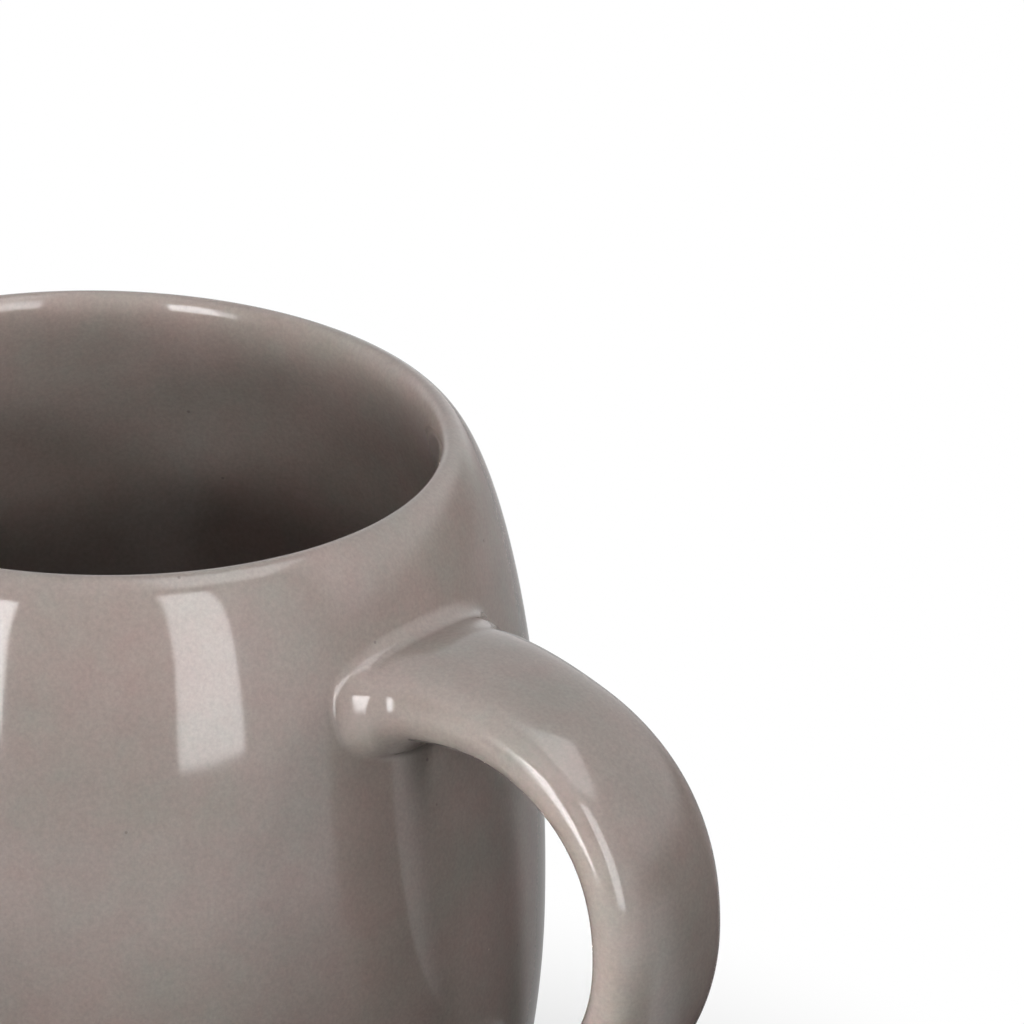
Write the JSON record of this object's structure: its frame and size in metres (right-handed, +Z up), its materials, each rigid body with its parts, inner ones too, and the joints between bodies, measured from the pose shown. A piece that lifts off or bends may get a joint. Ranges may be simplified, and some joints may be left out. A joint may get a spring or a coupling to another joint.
{
  "type": "mug",
  "caption": "Round-bellied glazed stoneware mug with an inward-leaning lip, a loop handle luted on with slip, and a dry foot ring.",
  "frame": {"origin": "in the plane that the foot ring rests on, at the centre of the footprint of cup and handle together; the cup's axis stands 14.9 mm from it towards -X", "axes": "+Z up along the cup's axis; +X from the cup towards the handle, in the handle's plane; +Y across the handle"},
  "size_m": [0.1248, 0.095, 0.1],
  "materials": {
    "glazed_stoneware": "warm taupe gloss glaze with fine mottling"
  },
  "bodies": {
    "root": {"cup": "glazed_stoneware", "handle": "glazed_stoneware", "upper_slip_joint": "glazed_stoneware", "lower_slip_joint": "glazed_stoneware"}
  },
  "joints": []
}
